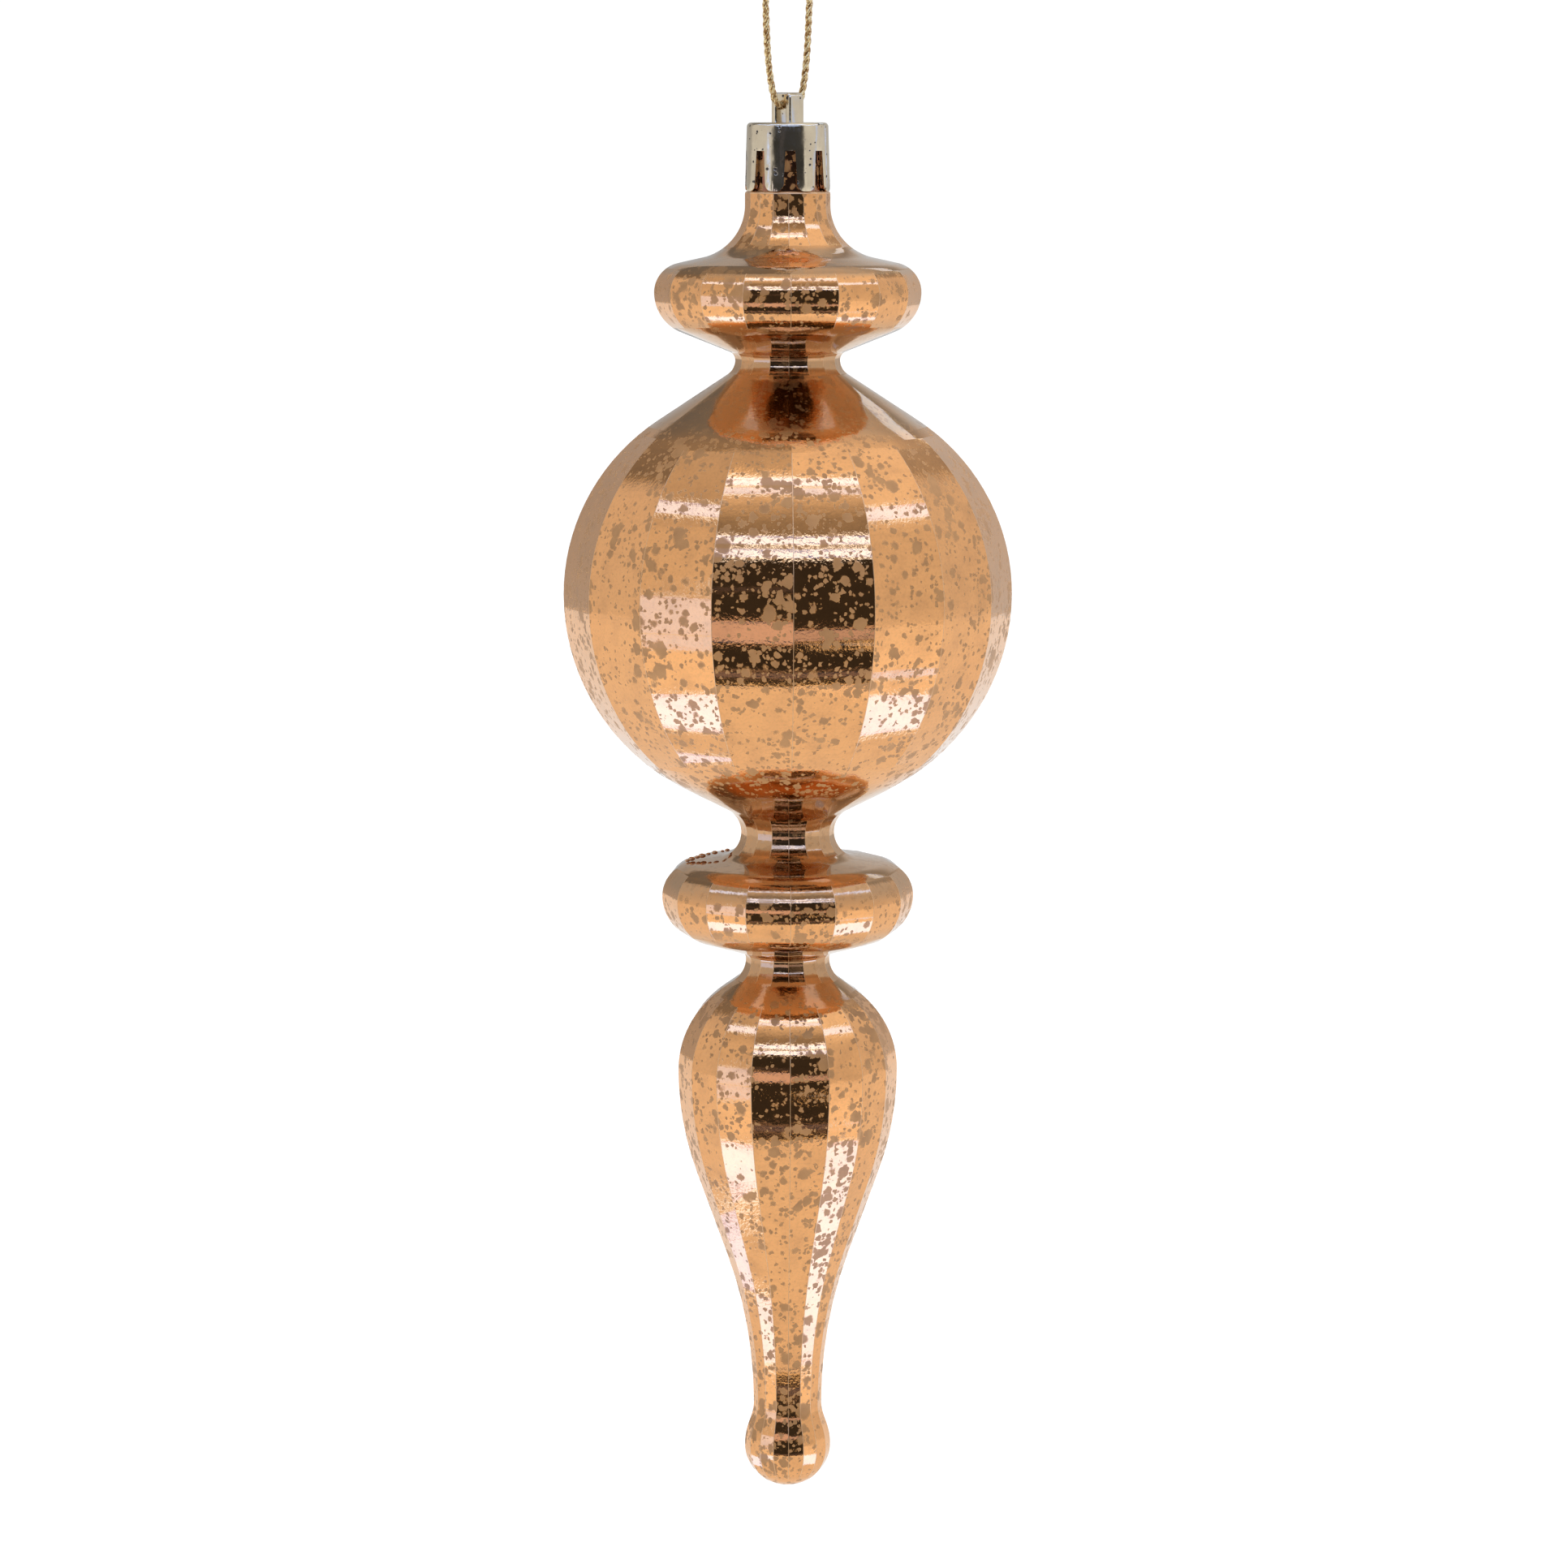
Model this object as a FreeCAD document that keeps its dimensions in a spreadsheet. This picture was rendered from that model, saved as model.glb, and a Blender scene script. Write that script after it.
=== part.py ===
import FreeCAD, Part
import math
import os
import Sketcher

# A hanging finial ornament in millimetres. One hollow body of blown plastic swells into two
# discs, a ball and a long spindle, with flat facets all the way from its neck to its tip.
# A slotted cap with a moulded eye is pushed on the neck, and a knotted loop of metallic
# thread runs through the eye.
# Inside a piece, heights count from the body's shoulder, where the cap sits. The frame's
# origin is where a hook bears in the top of the loop, with +Z up.

SIZES = {
    # the blown body: its facets, its wall, and the round neck inside the cap
    "facet_count": 16,
    "wall": 1.0,
    "shoulder_ledge": 0.75,
    "shoulder_round": 0.4,
    "mouth_gap": 0.5,
    # its necks and swells, from the axis to the middle of a facet
    "cap_neck_radius": 5.9,
    "top_disc_radius": 18.48,
    "upper_neck_radius": 7.28,
    "ball_radius": 31.2,
    "middle_neck_radius": 6.53,
    "low_disc_radius": 17.64,
    "lower_neck_radius": 5.88,
    "spindle_radius": 15.45,
    "waist_radius": 4.82,
    "tip_radius": 6.1,
    # how far each of them lies below the one above it
    "cap_neck_span": 1.92,
    "top_disc_span": 12.2,
    "upper_neck_span": 9.5,
    "ball_span": 33.0,
    "middle_neck_span": 34.15,
    "low_disc_span": 9.05,
    "lower_neck_span": 9.25,
    "spindle_span": 16.05,
    "waist_span": 49.2,
    "tip_span": 6.35,
    # the share of each flank that belongs to its swell's bend
    "top_disc_fullness": 0.343,
    "upper_neck_fullness": 0.63,
    "ball_fullness": 0.85,
    "middle_neck_fullness": 0.877,
    "low_disc_fullness": 0.517,
    "lower_neck_fullness": 0.696,
    "spindle_fullness": 0.77,
    "waist_fullness": 0.38,
    "tip_fullness": 0.57,
    # the share of it that is the straight between the bends, and the rest is the neck's bend
    "top_disc_straight": 0.04,
    "upper_neck_straight": 0.24,
    "ball_straight": 0.08,
    "middle_neck_straight": 0.022,
    "low_disc_straight": 0.07,
    "lower_neck_straight": 0.2,
    "spindle_straight": 0.02,
    "waist_straight": 0.065,
    "tip_straight": 0.03,
    # the cap's cup
    "cap_height": 9.5,
    "cap_roof": 1.0,
    "cap_wall": 0.75,
    "cap_clearance": 0.1,
    "cap_taper": 0.3,
    "cap_rim_round": 0.6,
    # the slots that let the cap's skirt spring over the neck, wider towards the foot
    "slot_count": 8,
    "slot_width": 1.4,
    "slot_flare": 0.25,
    "slot_height": 5.6,
    "lobe_round": 1.1,
    # the moulded eye on the cap's roof, with room for the thread
    "eye_play": 0.7,
    "eye_rise": 1.75,
    "eye_side": 0.95,
    "eye_crown": 1.4,
    "eye_depth": 3.0,
    "eye_corner": 0.8,
    "eye_edge_round": 0.3,
    "cap_turn": -42.5,
    # the thread, its knot and the place of the hook
    "thread_diameter": 1.0,
    "thread_gap": 0.05,
    "strand_gap": 0.24,
    "loop_rise": 35.3,
    "knot_rise": 39.7,
    "knot_lead": 2.6,
    "knot_wrap": 0.33,
    "knot_height": 2.6,
    "knot_round": 0.3,
    "tail_length": 5.5,
    "tail_lean": 20.0,
}

# Sizes that follow from those above, as formulas in the sheet.
FORMULAS = {
    "widest": "=max(top_disc_radius; ball_radius; low_disc_radius; spindle_radius)",
    "mouth_radius": "=cap_neck_radius - shoulder_ledge",
    "mouth_height": "=cap_height - cap_roof - mouth_gap",
    "mouth_bore": "=mouth_radius - wall",
    "cap_bore": "=mouth_radius + cap_clearance",
    "cap_foot_radius": "=cap_bore + cap_wall",
    "cap_top_radius": "=cap_foot_radius - cap_taper",
    "roof_underside": "=cap_height - cap_roof",
    "half_slot": "=slot_width / 2",
    "lobe_round_out": "=half_slot + slot_flare + lobe_round",
    "half_hole": "=(thread_diameter + eye_play) / 2",
    "hole_top": "=cap_height + thread_diameter + eye_rise",
    "hole_spring": "=hole_top - half_hole",
    "half_eye": "=half_hole + eye_side",
    "eye_top": "=hole_top + eye_crown",
    "eye_foot": "=cap_height - cap_roof / 2",
    "thread_line": "=hole_top - thread_diameter / 2 - thread_gap",
    "strand_spread": "=thread_diameter + strand_gap",
    "knot_radius": "=(strand_spread + thread_diameter) / 2 + knot_wrap",
    "shoulder_place": "=-thread_line - loop_rise",
    "knot_place": "=knot_rise - loop_rise",
}

# Necks and swells by turns, from the cap down to the tip.
STATIONS = [
    "cap_neck",
    "top_disc",
    "upper_neck",
    "ball",
    "middle_neck",
    "low_disc",
    "lower_neck",
    "spindle",
    "waist",
    "tip",
]

# One strand of the thread as (out from the loop's middle, up from the eye's hole), in the
# order from the eye to the knot. The points are chosen by eye from how the strand hangs.
FRONT_STRAND = [
    (2.35, 0.0),
    (3.3, 2.3),
    (4.15, 6.3),
    (4.5, 10.9),
    (4.75, 16.7),
    (4.7, 22.7),
    (4.3, 28.2),
    (3.0, 33.1),
]
BACK_STRAND = [
    (2.35, 0.0),
    (3.3, 2.3),
    (4.1, 6.4),
    (4.45, 11.1),
    (4.8, 16.5),
    (4.95, 22.3),
    (4.4, 28.1),
    (3.1, 32.9),
]
ARC_SHARE = 0.45

# How far a cut or an outline runs past what it cuts, and how near counts as touching.
OVERRUN = 0.5
TOUCH = 0.01

CENTRE = FreeCAD.Vector(0, 0, 0)
UP = FreeCAD.Vector(0, 0, 1)

document = FreeCAD.newDocument("finial_ornament")
sheet = document.addObject("Spreadsheet::Sheet", "Sizes")


# the sheet of driving sizes

def fill_sheet():
    for row, (name, content) in enumerate({**SIZES, **FORMULAS}.items(), start=1):
        sheet.set(f"A{row}", name)
        sheet.set(f"B{row}", str(content))
        sheet.setAlias(f"B{row}", name)
    document.recompute()


def size(name):
    return sheet.get(name)


def cell(name):
    return f"Sizes.{name}"


def both(name):
    """A size as the number that draws it and the cell that drives it."""
    return size(name), cell(name)


# sketches and their constraints

def new_body(name):
    body = document.addObject("PartDesign::Body", name)
    body.Label = name
    return body


def origin_feature(body, role):
    return next(f for f in body.Origin.OriginFeatures if f.Role == role)


def new_sketch(body, name, plane="XZ_Plane"):
    sketch = body.newObject("Sketcher::SketchObject", name)
    sketch.AttachmentSupport = [(origin_feature(body, plane), "")]
    sketch.MapMode = "FlatFace"
    return sketch


def rule(sketch, kind, *places):
    return sketch.addConstraint(Sketcher.Constraint(kind, *places))


def bind(sketch, expression, kind, *places):
    number = rule(sketch, kind, *places)
    sketch.setExpression(f"Constraints[{number}]", expression)


def join(sketch, first, second):
    rule(sketch, "Coincident", *first, *second)


def line(sketch, start, end):
    segment = Part.LineSegment(FreeCAD.Vector(*start, 0), FreeCAD.Vector(*end, 0))
    return sketch.addGeometry(segment, False)


def joined_lines(sketch, corners):
    """Draws a closed outline of straight lines and returns them in order."""
    lines = [line(sketch, start, end) for start, end in zip(corners, corners[1:] + corners[:1])]
    for first, second in zip(lines, lines[1:] + lines[:1]):
        join(sketch, (first, 2), (second, 1))
    return lines


def circle(sketch, radius, expression):
    ring = sketch.addGeometry(Part.Circle(CENTRE, UP, radius), False)
    join(sketch, (ring, 3), (-1, 1))
    bind(sketch, expression, "Radius", ring, radius)


def arc(sketch, centre, radius, start_angle, end_angle):
    whole = Part.Circle(FreeCAD.Vector(*centre, 0), UP, radius)
    return sketch.addGeometry(Part.ArcOfCircle(whole, start_angle, end_angle), False)


def place_out(sketch, point, distance, expression):
    bind(sketch, expression, "DistanceX", -1, 1, *point, distance)


def place_up(sketch, point, distance, expression):
    bind(sketch, expression, "DistanceY", -1, 1, *point, distance)


def place_down(sketch, point, distance, expression):
    bind(sketch, expression, "DistanceY", *point, -1, 1, distance)


def cut_through(body, name, sketch):
    """Cuts the sketch through the whole body, both ways from its plane."""
    pocket = body.newObject("PartDesign::Pocket", name)
    pocket.Profile = sketch
    pocket.SideType = "Symmetric"
    pocket.Type = "ThroughAll"
    document.recompute()
    return pocket


def repeat_round(body, name, count_cell):
    pattern = body.newObject("PartDesign::PolarPattern", name)
    pattern.Axis = (origin_feature(body, "Z_Axis"), [""])
    pattern.Angle = 360
    pattern.setExpression("Occurrences", count_cell)
    return pattern


def round_edges(body, name, feature, radius_cell, wanted):
    fillet = body.newObject("PartDesign::Fillet", name)
    numbered = enumerate(feature.Shape.Edges, start=1)
    fillet.Base = (feature, [f"Edge{number}" for number, edge in numbered if wanted(edge.BoundBox)])
    fillet.setExpression("Radius", radius_cell)
    document.recompute()
    return fillet


# the body's outline: stations joined by flanks of two arcs and a straight

def station_drop(index):
    return sum(size(name + "_span") for name in STATIONS[: index + 1])


def station_drop_text(index):
    spans = (cell(name + "_span") for name in STATIONS[: index + 1])
    return "(" + " + ".join(spans) + ")"


def add_flank(sketch, index, inset, inset_text, joint):
    """Draws the flank from station index - 1 to station index, inset by the wall's share.
    Its two arcs are upright at their stations, with a tangent straight between them.
    joint is the point that the flank starts from, and the flank's end point is returned."""
    upper, lower = STATIONS[index - 1], STATIONS[index]
    neck_above = index % 2 == 1
    neck, swell = (upper, lower) if neck_above else (lower, upper)
    neck_drop = station_drop(index - 1 if neck_above else index)
    swell_drop = station_drop(index if neck_above else index - 1)
    gap = size(swell + "_radius") - size(neck + "_radius")
    span = size(lower + "_span")
    fullness, straight = size(lower + "_fullness"), size(lower + "_straight")
    full_bends = (gap**2 + span**2) / (2 * gap)
    bends = (1 - straight) * full_bends
    turn = math.asin(bends / math.hypot(gap - bends, span)) + math.atan2(gap - bends, span)
    swell_bend = fullness * full_bends - inset
    neck_bend = bends - fullness * full_bends + inset
    neck_centre = (size(neck + "_radius") - inset + neck_bend, -neck_drop)
    swell_centre = (size(swell + "_radius") - inset - swell_bend, -swell_drop)
    if neck_above:
        hollow = arc(sketch, neck_centre, neck_bend, math.pi, math.pi + turn)
        bulge = arc(sketch, swell_centre, swell_bend, 0, turn)
        start, hollow_touch = (hollow, 1), (hollow, 2)
        end, bulge_touch = (bulge, 1), (bulge, 2)
    else:
        bulge = arc(sketch, swell_centre, swell_bend, -turn, 0)
        hollow = arc(sketch, neck_centre, neck_bend, math.pi - turn, math.pi)
        start, bulge_touch = (bulge, 2), (bulge, 1)
        end, hollow_touch = (hollow, 2), (hollow, 1)
    touches = [sketch.getPoint(*touch) for touch in (hollow_touch, bulge_touch)]
    tangent = line(sketch, *((touch.x, touch.y) for touch in touches))
    join(sketch, joint, start)
    rule(sketch, "Horizontal", start[0], 3, *start)
    rule(sketch, "Tangent", *hollow_touch, tangent, 1)
    rule(sketch, "Tangent", tangent, 2, *bulge_touch)
    rule(sketch, "Horizontal", end[0], 3, *end)
    lower_radius = size(lower + "_radius") - inset
    place_out(sketch, end, lower_radius, cell(lower + "_radius") + inset_text)
    place_down(sketch, end, station_drop(index), station_drop_text(index))
    gap_text = f"({cell(swell + '_radius')} - {cell(neck + '_radius')})"
    bends_text = f"({gap_text}^2 + {cell(lower + '_span')}^2) / (2 * {gap_text})"
    inset_back = inset_text.replace("-", "+")
    neck_share = f"(1 - {cell(lower + '_fullness')} - {cell(lower + '_straight')})"
    bind(sketch, f"{neck_share} * {bends_text}{inset_back}", "Radius", hollow, neck_bend)
    swell_share = cell(lower + "_fullness")
    bind(sketch, f"{swell_share} * {bends_text}{inset_text}", "Radius", bulge, swell_bend)
    return end


def add_outline(sketch, inset, inset_text):
    """Draws the outline from the closed top, down the flanks and round the tip.
    It runs a little past the axis at both ends, and its two end points are returned."""
    radius = size("cap_neck_radius") - inset
    collar = station_drop(0)
    bend = size("shoulder_round")
    top = line(sketch, (-OVERRUN, -inset), (radius - bend, -inset))
    shoulder = arc(sketch, (radius - bend, -inset - bend), bend, 0, math.pi / 2)
    side = line(sketch, (radius, -inset - bend), (radius, -collar))
    rule(sketch, "Horizontal", top)
    rule(sketch, "Vertical", side)
    rule(sketch, "Tangent", top, 2, shoulder, 2)
    rule(sketch, "Tangent", shoulder, 1, side, 1)
    bind(sketch, cell("shoulder_round"), "Radius", shoulder, bend)
    place_out(sketch, (side, 2), radius, cell("cap_neck_radius") + inset_text)
    place_down(sketch, (side, 2), collar, station_drop_text(0))
    joint = (side, 2)
    for index in range(1, len(STATIONS)):
        joint = add_flank(sketch, index, inset, inset_text, joint)
    tip_radius = size("tip_radius") - inset
    past_axis = -math.pi / 2 - math.asin(OVERRUN / tip_radius)
    tip = arc(sketch, (0, -station_drop(len(STATIONS) - 1)), tip_radius, past_axis, 0)
    join(sketch, joint, (tip, 2))
    rule(sketch, "Horizontal", tip, 3, tip, 2)
    rule(sketch, "PointOnObject", tip, 3, -2)
    return (top, 1), (tip, 1)


def add_closing_line(sketch, first, second):
    start = sketch.getPoint(*first)
    end = sketch.getPoint(*second)
    closing = line(sketch, (start.x, start.y), (end.x, end.y))
    join(sketch, first, (closing, 1))
    join(sketch, second, (closing, 2))
    rule(sketch, "Vertical", closing)
    rule(sketch, "DistanceX", closing, 1, -1, 1, OVERRUN)


# the blown body

def add_facet_strip(body):
    """The wall's section, from the closed top round to the tip, as a strip across the body."""
    section = new_sketch(body, "wall_section")
    outer_top, outer_tip = add_outline(section, 0.0, "")
    inner_top, inner_tip = add_outline(section, size("wall"), " - Sizes.wall")
    add_closing_line(section, outer_top, inner_top)
    add_closing_line(section, outer_tip, inner_tip)
    rule(section, "PointOnObject", *outer_top, -1)
    place_down(section, inner_top, *both("wall"))
    strip = body.newObject("PartDesign::Pad", "facet_strip")
    strip.Profile = section
    strip.SideType = "Symmetric"
    strip.setExpression("Length", "2 * Sizes.widest")


def trim_to_sector(body):
    """Cuts the strip down to one facet's sector, seen from above."""
    sector = new_sketch(body, "outside_the_sector", "XY_Plane")
    reach = 2 * size("widest")
    side = reach * math.tan(math.pi / size("facet_count"))
    corners = [
        (0, 0),
        (reach, side),
        (reach, reach),
        (-reach, reach),
        (-reach, -reach),
        (reach, -reach),
        (reach, -side),
    ]
    lines = joined_lines(sector, corners)
    join(sector, (lines[0], 1), (-1, 1))
    for upright in (lines[1], lines[3], lines[5]):
        rule(sector, "Vertical", upright)
    for level in (lines[2], lines[4]):
        rule(sector, "Horizontal", level)
    rule(sector, "Symmetric", lines[0], 2, lines[6], 1, -1)
    rule(sector, "Symmetric", lines[2], 2, lines[5], 1, -1, 1)
    place_out(sector, (lines[1], 2), reach, "2 * Sizes.widest")
    place_up(sector, (lines[1], 2), reach, "2 * Sizes.widest")
    place_up(sector, (lines[0], 2), side, "2 * Sizes.widest * tan(180 deg / Sizes.facet_count)")
    cut_through(body, "sector_trim", sector)


def add_mouth(body):
    """The round neck on the shoulder, and its bore from the mouth into the hollow."""
    neck_circle = new_sketch(body, "neck_circle", "XY_Plane")
    circle(neck_circle, *both("mouth_radius"))
    neck = body.newObject("PartDesign::Pad", "neck")
    neck.Profile = neck_circle
    neck.setExpression("Length", cell("mouth_height"))
    bore_circle = new_sketch(body, "bore_circle", "XY_Plane")
    bore_circle.setExpression("AttachmentOffset.Base.z", cell("mouth_height"))
    circle(bore_circle, *both("mouth_bore"))
    bore = body.newObject("PartDesign::Pocket", "bore")
    bore.Profile = bore_circle
    bore.setExpression("Length", f"Sizes.mouth_height + Sizes.wall + {OVERRUN}")


def make_ornament_body():
    body = new_body("ornament_body")
    add_facet_strip(body)
    trim_to_sector(body)
    facets = repeat_round(body, "facets", cell("facet_count"))
    facets.TransformMode = "Whole shape"
    body.Tip = facets
    document.recompute()
    add_mouth(body)
    # an edge between two facets faces the front
    body.setExpression("Placement.Rotation.Angle", "180 deg / Sizes.facet_count")
    body.setExpression("Placement.Base.z", cell("shoulder_place"))
    return body


# the cap

def add_cup(cap):
    section = new_sketch(cap, "cup_section")
    corners = [
        (0, size("cap_height")),
        (size("cap_top_radius"), size("cap_height")),
        (size("cap_foot_radius"), 0),
        (size("cap_bore"), 0),
        (size("cap_bore"), size("roof_underside")),
        (0, size("roof_underside")),
    ]
    roof, skirt, foot, bore, underside, axis = joined_lines(section, corners)
    for level in (roof, underside, foot):
        rule(section, "Horizontal", level)
    rule(section, "Vertical", bore)
    rule(section, "PointOnObject", axis, 1, -2)
    rule(section, "PointOnObject", axis, 2, -2)
    rule(section, "PointOnObject", foot, 1, -1)
    place_up(section, (roof, 2), *both("cap_height"))
    place_up(section, (underside, 2), *both("roof_underside"))
    place_out(section, (skirt, 1), *both("cap_top_radius"))
    place_out(section, (skirt, 2), *both("cap_foot_radius"))
    place_out(section, (bore, 1), *both("cap_bore"))
    cup = cap.newObject("PartDesign::Revolution", "cup")
    cup.Profile = section
    cup.ReferenceAxis = (origin_feature(cap, "Z_Axis"), [""])
    cup.Angle = 360
    document.recompute()
    top = size("cap_height") - TOUCH
    rim_reach = size("cap_bore")
    is_rim = lambda box: box.ZMin > top and box.XMax > rim_reach
    round_edges(cap, "rim_round", cup, cell("cap_rim_round"), is_rim)


def add_slots(cap):
    """Slots through the skirt, each open at the foot between the round corners of two lobes."""
    outline = new_sketch(cap, "slot_outline")
    half, top, bend = size("half_slot"), size("slot_height"), size("lobe_round")
    low = half + size("slot_flare")
    out = size("lobe_round_out")
    lean = math.atan(size("slot_flare") / (top - bend))
    quarter = math.pi / 2
    roof = line(outline, (-half, top), (half, top))
    right = line(outline, (half, top), (low, bend))
    right_round = arc(outline, (out, bend), bend, 2 * quarter + lean, 3 * quarter)
    right_drop = line(outline, (out, 0), (out, -OVERRUN))
    floor = line(outline, (out, -OVERRUN), (-out, -OVERRUN))
    left_drop = line(outline, (-out, -OVERRUN), (-out, 0))
    left_round = arc(outline, (-out, bend), bend, 3 * quarter, 4 * quarter - lean)
    left = line(outline, (-low, bend), (-half, top))
    join(outline, (roof, 2), (right, 1))
    rule(outline, "Tangent", right, 2, right_round, 1)
    join(outline, (right_round, 2), (right_drop, 1))
    join(outline, (right_drop, 2), (floor, 1))
    join(outline, (floor, 2), (left_drop, 1))
    join(outline, (left_drop, 2), (left_round, 1))
    rule(outline, "Tangent", left_round, 2, left, 1)
    join(outline, (left, 2), (roof, 1))
    rule(outline, "Horizontal", floor)
    rule(outline, "Vertical", right_drop)
    rule(outline, "Vertical", left_drop)
    rule(outline, "Symmetric", roof, 1, roof, 2, -2)
    rule(outline, "Symmetric", left_round, 1, right_round, 2, -2)
    rule(outline, "Equal", right_round, left_round)
    rule(outline, "PointOnObject", right_round, 2, -1)
    for corner in ((right_round, 2), (left_round, 1)):
        rule(outline, "Vertical", corner[0], 3, *corner)
    rule(outline, "DistanceY", floor, 1, -1, 1, OVERRUN)
    place_out(outline, (roof, 2), *both("half_slot"))
    place_up(outline, (roof, 2), *both("slot_height"))
    place_out(outline, (right_round, 3), *both("lobe_round_out"))
    bind(outline, cell("lobe_round"), "Radius", right_round, bend)
    slot = cap.newObject("PartDesign::Pocket", "slot")
    slot.Profile = outline
    slot.Reversed = True
    slot.setExpression("Length", f"Sizes.cap_foot_radius + {OVERRUN}")
    document.recompute()
    slots = repeat_round(cap, "slots", cell("slot_count"))
    slots.Originals = [slot]
    cap.Tip = slots
    document.recompute()


def add_eye(cap):
    """An arch with rounded shoulders that stands in the roof."""
    arch = new_sketch(cap, "eye_outline")
    foot, crown = size("eye_foot"), size("eye_top")
    wide, bend = size("half_eye"), size("eye_corner")
    left = line(arch, (-wide, foot), (-wide, crown - bend))
    left_bend = arc(arch, (-wide + bend, crown - bend), bend, math.pi / 2, math.pi)
    top = line(arch, (-wide + bend, crown), (wide - bend, crown))
    right_bend = arc(arch, (wide - bend, crown - bend), bend, 0, math.pi / 2)
    right = line(arch, (wide, crown - bend), (wide, foot))
    base = line(arch, (wide, foot), (-wide, foot))
    rule(arch, "Tangent", left, 2, left_bend, 2)
    rule(arch, "Tangent", left_bend, 1, top, 1)
    rule(arch, "Tangent", top, 2, right_bend, 2)
    rule(arch, "Tangent", right_bend, 1, right, 1)
    join(arch, (right, 2), (base, 1))
    join(arch, (base, 2), (left, 1))
    rule(arch, "Horizontal", top)
    rule(arch, "Vertical", left)
    rule(arch, "Symmetric", base, 1, base, 2, -2)
    rule(arch, "Equal", left_bend, right_bend)
    place_out(arch, (base, 1), *both("half_eye"))
    place_up(arch, (base, 1), *both("eye_foot"))
    place_up(arch, (top, 1), *both("eye_top"))
    bind(arch, cell("eye_corner"), "Radius", left_bend, bend)
    eye = cap.newObject("PartDesign::Pad", "eye")
    eye.Profile = arch
    eye.SideType = "Symmetric"
    eye.setExpression("Length", cell("eye_depth"))
    document.recompute()


def add_eye_hole(cap):
    """The round-topped hole for the thread, and the soft edges of the eye's two faces."""
    outline = new_sketch(cap, "eye_hole_outline")
    half, spring, floor = size("half_hole"), size("hole_spring"), size("cap_height")
    left = line(outline, (-half, floor), (-half, spring))
    vault = arc(outline, (0, spring), half, 0, math.pi)
    right = line(outline, (half, spring), (half, floor))
    base = line(outline, (half, floor), (-half, floor))
    rule(outline, "Tangent", left, 2, vault, 2)
    rule(outline, "Tangent", vault, 1, right, 1)
    join(outline, (right, 2), (base, 1))
    join(outline, (base, 2), (left, 1))
    rule(outline, "Vertical", left)
    rule(outline, "Symmetric", base, 1, base, 2, -2)
    place_out(outline, (base, 1), *both("half_hole"))
    place_up(outline, (base, 1), *both("cap_height"))
    place_up(outline, (vault, 3), *both("hole_spring"))
    hole = cut_through(cap, "eye_hole", outline)
    above = size("cap_height") + TOUCH
    face = size("eye_depth") / 2
    is_face_edge = (
        lambda box: box.ZMax > above
        and abs(abs(box.Center.y) - face) < TOUCH
        and box.YLength < TOUCH
    )
    cap.Tip = round_edges(cap, "eye_edge_rounds", hole, cell("eye_edge_round"), is_face_edge)


def turn_with_cap(piece):
    piece.Placement = FreeCAD.Placement(CENTRE, UP, size("cap_turn"))
    piece.setExpression("Placement.Rotation.Angle", "Sizes.cap_turn * 1 deg")


def make_cap():
    cap = new_body("cap")
    add_cup(cap)
    add_slots(cap)
    add_eye(cap)
    add_eye_hole(cap)
    turn_with_cap(cap)
    cap.setExpression("Placement.Base.z", cell("shoulder_place"))
    return cap


# the thread and its knot, in the plane of the eye's hole

def knot_points():
    side = size("strand_spread") / 2
    rise = size("knot_rise")
    return [(side, rise - size("knot_lead")), (side, rise)]


def thread_points():
    """The route from the knot, down the front strand, through the eye and up the back."""
    front = FRONT_STRAND + knot_points()
    back = [(-out, up) for out, up in BACK_STRAND + knot_points()]
    height = size("thread_line")
    return [FreeCAD.Vector(0, -out, height + up) for out, up in front[::-1] + back]


def rounded_wire(points):
    """Straight runs joined by tangent arcs, each as large as its two runs allow."""
    edges, radii = [], []
    here = points[0]
    for before, corner, after in zip(points, points[1:], points[2:]):
        back, ahead = before - corner, after - corner
        half_turn = (math.pi - back.getAngle(ahead)) / 2
        reach = ARC_SHARE * min(back.Length, ahead.Length)
        radii.append(reach / math.tan(half_turn))
        back.normalize()
        ahead.normalize()
        start, end = corner + back * reach, corner + ahead * reach
        middle_way = (back + ahead).normalize()
        inside = radii[-1] * (1 / math.cos(half_turn) - 1)
        edges.append(Part.LineSegment(here, start).toShape())
        edges.append(Part.Arc(start, corner + middle_way * inside, end).toShape())
        here = end
    edges.append(Part.LineSegment(here, points[-1]).toShape())
    return Part.Wire(edges), radii


def make_hanging_thread():
    points = thread_points()
    wire, radii = rounded_wire(points)
    print("thread bend radii:", ", ".join(f"{radius:.2f}" for radius in radii))
    route = document.addObject("Part::Feature", "thread_route")
    route.Shape = wire
    section = document.addObject("Part::Circle", "thread_section")
    section.setExpression("Radius", "Sizes.thread_diameter / 2")
    section.Placement = FreeCAD.Placement(points[0], FreeCAD.Rotation())
    thread = document.addObject("Part::Sweep", "hanging_thread")
    thread.Label = "hanging_thread"
    thread.Sections = [section]
    thread.Spine = (route, [f"Edge{number + 1}" for number in range(len(wire.Edges))])
    thread.Solid = True
    thread.Frenet = False
    turn_with_cap(thread)
    thread.setExpression("Placement.Base.z", cell("shoulder_place"))
    document.recompute()
    ideal = wire.Length * math.pi * (size("thread_diameter") / 2) ** 2
    print(f"thread length {wire.Length:.2f}, volume {thread.Shape.Volume:.3f} against {ideal:.3f}")
    return thread


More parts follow.
